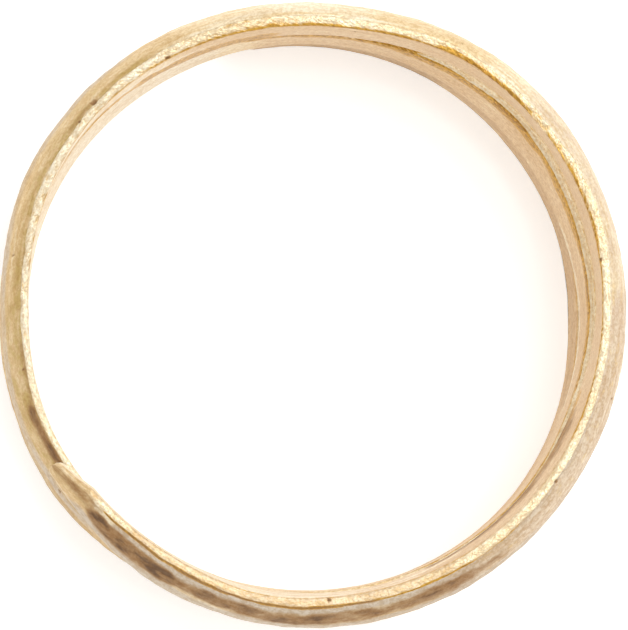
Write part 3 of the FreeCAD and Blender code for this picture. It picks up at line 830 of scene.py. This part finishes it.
def floor_material():
    """White floor that keeps the shadow and shows as paper white, also in the metal."""
    material = bpy.data.materials.new("white_floor")
    bench = NodeBench(material)
    path = bench.add("ShaderNodeLightPath")
    seen = bench.maths("MAXIMUM", path.outputs["Is Camera Ray"], path.outputs["Is Glossy Ray"])
    seen = bench.maths("MAXIMUM", seen, path.outputs["Is Transmission Ray"])
    diffuse = bench.add("ShaderNodeBsdfDiffuse")
    diffuse.inputs["Color"].default_value = (PAPER_WHITE, PAPER_WHITE, PAPER_WHITE, 1.0)
    glow = bench.add("ShaderNodeEmission")
    bench.link(bench.maths("MULTIPLY", seen, PAPER_GLOW), glow.inputs["Strength"])
    both = bench.add("ShaderNodeAddShader")
    bench.link(diffuse.outputs["BSDF"], both.inputs[0])
    bench.link(glow.outputs["Emission"], both.inputs[1])
    output = bench.add("ShaderNodeOutputMaterial")
    bench.link(both.outputs["Shader"], output.inputs["Surface"])
    return material


def clean_object(name, mesh):
    """New object at the origin that replaces an older one of the same name."""
    old = bpy.data.objects.get(name)
    if old is not None:
        bpy.data.objects.remove(old)
    thing = bpy.data.objects.new(name, mesh)
    bpy.context.scene.collection.objects.link(thing)
    return thing


class WireSizes(PropertyGroup):
    """Sizes of the wire and of its winding."""

    hole_diameter: FloatProperty(
        name="Finger hole",
        description="Narrowest width of the hole that the laps go round",
        default=0.0192,
        unit="LENGTH",
        subtype="DISTANCE",
    )
    wire_thickness: FloatProperty(
        name="Wire thickness",
        description="Radial thickness from the flat inner face to the crown of the back",
        default=0.00092,
        unit="LENGTH",
        subtype="DISTANCE",
    )
    wire_width: FloatProperty(
        name="Wire width",
        description="Axial width of the wire from edge to edge",
        default=0.0018,
        unit="LENGTH",
        subtype="DISTANCE",
    )
    lap_gap: FloatProperty(
        name="Gap between laps",
        description="Axial air gap between two neighbouring laps",
        default=0.0005,
        unit="LENGTH",
        subtype="DISTANCE",
    )
    base_flat_depth: FloatProperty(
        name="Rubbed base",
        description="How deep the lowest lap is rubbed flat where the ring stands",
        default=0.0005,
        unit="LENGTH",
        subtype="DISTANCE",
    )


class GildingColours(PropertyGroup):
    """Colours of the worn gilding, and of the light and shade painted onto it."""

    gilt: FloatVectorProperty(
        name="Gilt",
        description="Worn gilding on the back of the wire",
        default=(0.96, 0.79, 0.50),
        subtype="COLOR",
        size=3,
    )
    pale_gilt: FloatVectorProperty(
        name="Pale gilt",
        description="Paler clouds in the gilding",
        default=(1.00, 0.89, 0.68),
        subtype="COLOR",
        size=3,
    )
    # Partly rubbed metal, partly painted highlight.
    bright_edge_and_highlight: FloatVectorProperty(
        name="Bright edge",
        description="Metal rubbed bright along the raised front edge",
        default=(0.98, 0.86, 0.63),
        subtype="COLOR",
        size=3,
    )
    # Painted shade: tan for the slopes turned away from the soft box.
    tan_shade: FloatVectorProperty(
        name="Tan film",
        description="Thin tan film on the left and lower left",
        default=(0.78, 0.57, 0.30),
        subtype="COLOR",
        size=3,
    )
    # Painted shade: olive beside the bead on the slopes turned away from the soft box.
    olive_shade: FloatVectorProperty(
        name="Olive film",
        description="Darker olive film beside the bright edge",
        default=(0.56, 0.39, 0.13),
        subtype="COLOR",
        size=3,
    )
    rose_film: FloatVectorProperty(
        name="Rose film",
        description="Pinkish film on the lower right",
        default=(0.74, 0.58, 0.43),
        subtype="COLOR",
        size=3,
    )
    # Partly painted shade: the film is thickest on the inner faces turned away from the soft box.
    inner_film_and_shade: FloatVectorProperty(
        name="Inner film",
        description="Matte film on the inner faces",
        default=(0.85, 0.64, 0.40),
        subtype="COLOR",
        size=3,
    )
    # Painted light: palest colour where the white floor lights the inner faces from below.
    pale_glow: FloatVectorProperty(
        name="Pale film",
        description="Palest film, on lower inner faces and thinly along the bead",
        default=(0.99, 0.90, 0.74),
        subtype="COLOR",
        size=3,
    )
    # Painted sheen and shade: grey along the crown and beside the bead.
    grey_sheen_and_shade: FloatVectorProperty(
        name="Grey film",
        description="Greyish film beside the patina and along the crown",
        default=(0.66, 0.56, 0.45),
        subtype="COLOR",
        size=3,
    )
    cloud_shade: FloatVectorProperty(
        name="Cloud shade",
        description="Tint of the darker clouds",
        default=(0.80, 0.67, 0.48),
        subtype="COLOR",
        size=3,
    )
    shade: FloatVectorProperty(
        name="Grain shade",
        description="Tint of the finest dark grain",
        default=(0.74, 0.62, 0.46),
        subtype="COLOR",
        size=3,
    )
    # Partly old gilding, partly painted shade of the creases.
    crease_gold_and_shade: FloatVectorProperty(
        name="Dark gold",
        description="Deep gold left in the creases",
        default=(0.75, 0.44, 0.07),
        subtype="COLOR",
        size=3,
    )
    # Partly painted shade: the darkest specks in the creases.
    amber: FloatVectorProperty(
        name="Amber",
        description="Darkest specks in the deep gold",
        default=(0.33, 0.15, 0.02),
        subtype="COLOR",
        size=3,
    )
    # Partly patina, partly painted shade and dark reflection.
    brown_patina_and_shade: FloatVectorProperty(
        name="Brown patina",
        description="Brown patina where the gilding is gone",
        default=(0.42, 0.245, 0.11),
        subtype="COLOR",
        size=3,
    )
    # Partly patina, partly painted shade and dark reflection.
    dark_patina_and_shade: FloatVectorProperty(
        name="Dark patina",
        description="Darkest patches of the patina",
        default=(0.16, 0.09, 0.05),
        subtype="COLOR",
        size=3,
    )
    roughness: FloatProperty(
        name="Roughness",
        description="How matte the metal is",
        default=0.42,
        min=0.0,
        max=1.0,
        subtype="FACTOR",
    )


class StudioSettings(PropertyGroup):
    """Light and camera of the studio."""

    camera_distance: FloatProperty(
        name="Camera distance",
        description="From the lens to the middle of the front lap",
        default=0.1,
        unit="LENGTH",
        subtype="DISTANCE",
    )
    camera_tilt: FloatProperty(
        name="Camera tilt",
        description="Angle between the line of sight and the axis of the finger hole",
        default=math.radians(7.42),
        unit="ROTATION",
        subtype="ANGLE",
    )
    camera_turn: FloatProperty(
        name="Camera turn",
        description="Side that the camera leans towards, anticlockwise from +X",
        default=math.radians(213.11),
        unit="ROTATION",
        subtype="ANGLE",
    )
    key_radiance: FloatProperty(
        name="Key light",
        description="Brightness of the soft box, where 1 is white paper",
        default=2.65,
        min=0.0,
    )
    sky_strength: FloatProperty(
        name="Surrounding light",
        description="Brightness of the white room, where 1 is white paper",
        default=0.82,
        min=0.0,
    )


class CoilRingWind(Operator):
    """Winds the hammered wire round the finger hole"""

    bl_idname = "coil_ring.wind_wire"
    bl_label = "Wind wire"

    def execute(self, context):
        scene = context.scene
        mesh = wind_wire(scene.coil_ring_sizes)
        if not mesh.polygons:
            raise RuntimeError("the wire has no faces")
        mesh.materials.append(gilding_material(scene.coil_ring_colours))
        wire = clean_object("hammered_wire", mesh)
        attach(wire, "root")
        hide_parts("coil_wire")
        return {"FINISHED"}


def place_camera(settings):
    """Camera at the photograph's angle, looking at the middle of the front lap's rim."""
    rim_centre = Vector((0.0, 0.0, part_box("coil_wire")[1][2]))
    tilt, turn = settings.camera_tilt, settings.camera_turn
    aside = math.sin(tilt)
    away = Vector((aside * math.cos(turn), aside * math.sin(turn), math.cos(tilt)))
    right = (-away).cross(Vector((0.0, 1.0, 0.0))).normalized()
    up = right.cross(-away)
    data = bpy.data.cameras.new("camera")
    data.sensor_width = SENSOR_WIDTH
    long_side = max(PHOTO_WIDTH, PHOTO_HEIGHT)
    data.lens = FOCAL_PIXELS * SENSOR_WIDTH / long_side
    data.shift_x = (0.5 * PHOTO_WIDTH - RIM_CENTRE_PIXEL[0]) / long_side
    data.shift_y = (RIM_CENTRE_PIXEL[1] - 0.5 * PHOTO_HEIGHT) / long_side
    data.clip_start = CLIP_START
    camera = clean_object("camera", data)
    turned = Matrix((right, up, away)).transposed().to_4x4()
    camera.matrix_world = Matrix.Translation(rim_centre + away * settings.camera_distance) @ turned
    bpy.context.scene.camera = camera


def place_floor():
    """Pale floor that the ring stands on."""
    bm = bmesh.new()
    bmesh.ops.create_grid(bm, x_segments=1, y_segments=1, size=0.5 * FLOOR_SIZE)
    mesh = bpy.data.meshes.new("floor")
    bm.to_mesh(mesh)
    bm.free()
    mesh.materials.append(floor_material())
    floor = clean_object("floor", mesh)


def place_lights(settings):
    """One large soft box from the upper right in a white room."""
    turn, rise = math.radians(KEY_TURN), math.radians(KEY_RISE)
    aside = math.cos(rise)
    away = Vector((aside * math.cos(turn), aside * math.sin(turn), math.sin(rise)))
    data = bpy.data.lights.new("soft_box", "AREA")
    data.shape = "SQUARE"
    data.size = KEY_SIZE
    data.energy = settings.key_radiance * math.pi * KEY_SIZE * KEY_SIZE
    soft_box = clean_object("soft_box", data)
    soft_box.location = away * KEY_DISTANCE
    soft_box.rotation_euler = away.to_track_quat("Z", "Y").to_euler()

    world = bpy.data.worlds.new("white_room")
    bpy.context.scene.world = world
    bench = NodeBench(world)
    room = bench.add("ShaderNodeBackground")
    room.inputs["Color"].default_value = WHITE
    room.inputs["Strength"].default_value = settings.sky_strength
    output = bench.add("ShaderNodeOutputWorld")
    bench.link(room.outputs["Background"], output.inputs["Surface"])


class CoilRingStage(Operator):
    """Sets the floor, the light and the camera"""

    bl_idname = "coil_ring.set_stage"
    bl_label = "Set stage"

    def execute(self, context):
        settings = context.scene.coil_ring_studio
        place_camera(settings)
        place_floor()
        place_lights(settings)
        context.scene.view_settings.view_transform = "Standard"
        return {"FINISHED"}


class CoilRingPanel(Panel):
    """Shows the settings of the wire, its colours and the studio, with their buttons"""

    bl_idname = "VIEW3D_PT_coil_ring"
    bl_label = "Coil ring"
    bl_space_type = "VIEW_3D"
    bl_region_type = "UI"
    bl_category = "Coil ring"

    def draw(self, context):
        scene = context.scene
        for settings, operator in (
            (scene.coil_ring_sizes, CoilRingWind),
            (scene.coil_ring_colours, None),
            (scene.coil_ring_studio, CoilRingStage),
        ):
            box = self.layout.box()
            for name in settings.__annotations__:
                box.prop(settings, name)
            if operator is not None:
                box.operator(operator.bl_idname)


CLASSES = (WireSizes, GildingColours, StudioSettings, CoilRingWind, CoilRingStage, CoilRingPanel)


def register():
    for cls in CLASSES:
        bpy.utils.register_class(cls)
    bpy.types.Scene.coil_ring_sizes = PointerProperty(type=WireSizes)
    bpy.types.Scene.coil_ring_colours = PointerProperty(type=GildingColours)
    bpy.types.Scene.coil_ring_studio = PointerProperty(type=StudioSettings)


def unregister():
    del bpy.types.Scene.coil_ring_studio
    del bpy.types.Scene.coil_ring_colours
    del bpy.types.Scene.coil_ring_sizes
    for cls in reversed(CLASSES):
        bpy.utils.unregister_class(cls)


def main():
    register()
    bpy.ops.coil_ring.wind_wire()
    bpy.ops.coil_ring.set_stage()


if __name__ == "__main__":
    main()
